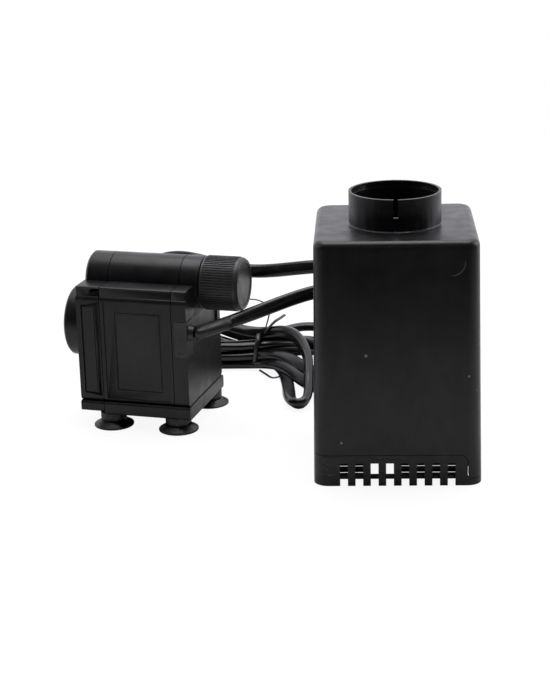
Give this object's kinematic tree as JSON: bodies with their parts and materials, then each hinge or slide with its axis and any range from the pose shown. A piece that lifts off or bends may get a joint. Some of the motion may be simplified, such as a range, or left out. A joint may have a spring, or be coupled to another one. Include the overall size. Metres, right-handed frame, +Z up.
{
  "type": "submersible fountain pump with strainer housing",
  "caption": "Small black fountain pump on suction cups with a ribbed flow control cap and tied mains lead, beside its tall black strainer housing with a split collar.",
  "frame": {"origin": "on the floor under the middle of the pump and the strainer housing taken together, leaving out the free mains lead", "axes": "+Z up; +X to the right and +Y to the back as seen from the front face of the strainer housing; the pump is set down turned 13.3 degrees clockwise about +Z"},
  "size_m": [0.2456, 0.2771, 0.155],
  "materials": {
    "pump_plastic": "fine satin moulded black, soft sheen on the edges",
    "cap_plastic": "satin moulded black, ribbed",
    "housing_plastic": "satin moulded black with faint handling marks",
    "cup_rubber": "soft black rubber",
    "seal_rubber": "black seal rubber",
    "gland_rubber": "black rubber moulding",
    "lead_jacket": "black jacket with a soft shine",
    "plug_plastic": "black moulded plug",
    "pin_brass": "nickel plated brass pins",
    "tie_wire": "plastic covered tie wire",
    "shaft_ceramic": "polished ceramic",
    "ferrite": "dark ferrite magnet",
    "core_steel": "laminated core steel",
    "bobbin_nylon": "natural nylon",
    "winding_enamel": "enamelled copper wire",
    "potting_resin": "cast resin",
    "impeller_plastic": "dark grey moulding"
  },
  "bodies": {
    "pump": {"foot_base": "pump_plastic", "cup_front_left": "cup_rubber", "cup_front_right": "cup_rubber", "cup_back_left": "cup_rubber", "cup_back_right": "cup_rubber", "motor_housing": "pump_plastic", "volute_gasket": "seal_rubber", "rear_cover": "pump_plastic", "shaft": "shaft_ceramic", "rear_bush": "seal_rubber", "stator_core": "core_steel", "coil_bobbin": "bobbin_nylon", "coil_winding": "winding_enamel", "potting": "potting_resin", "cap_seal": "seal_rubber", "cable_gland": "gland_rubber", "housing_base": "housing_plastic", "base_grid": "housing_plastic", "lead_from_pump": "lead_jacket", "lead_loop": "lead_jacket", "lead_hank": "lead_jacket", "lead_to_plug": "lead_jacket", "twist_tie": "tie_wire", "plug_relief": "plug_plastic", "plug_body": "plug_plastic", "plug_pins": "pin_brass"},
    "cover": {"front_cover": "pump_plastic", "intake_ring": "pump_plastic", "front_bush": "seal_rubber"},
    "rotor": {"rotor_magnet": "ferrite", "impeller": "impeller_plastic"},
    "flow_control": {"control_cap": "cap_plastic", "valve_barrel": "impeller_plastic"},
    "strainer_shell": {"housing_shell": "housing_plastic"}
  },
  "joints": [
    {"name": "rotor_spin", "type": "hinge", "parent": "pump", "child": "rotor", "pos_m": [-0.071, 0.0405, 0.058], "axis": [0.9732, -0.23, 0], "continuous": true},
    {"name": "flow_control_turn", "type": "hinge", "parent": "pump", "child": "flow_control", "pos_m": [-0.03207, 0.0313, 0.086], "axis": [0.9732, -0.23, 0], "range_deg": [0, 90]},
    {"name": "cover_pull", "type": "slide", "parent": "pump", "child": "cover", "axis": [-0.9732, 0.23, 0], "range_m": [0, 0.03]},
    {"name": "shell_lift", "type": "slide", "parent": "pump", "child": "strainer_shell", "axis": [0, 0, 1], "range_m": [0, 0.12]}
  ]
}
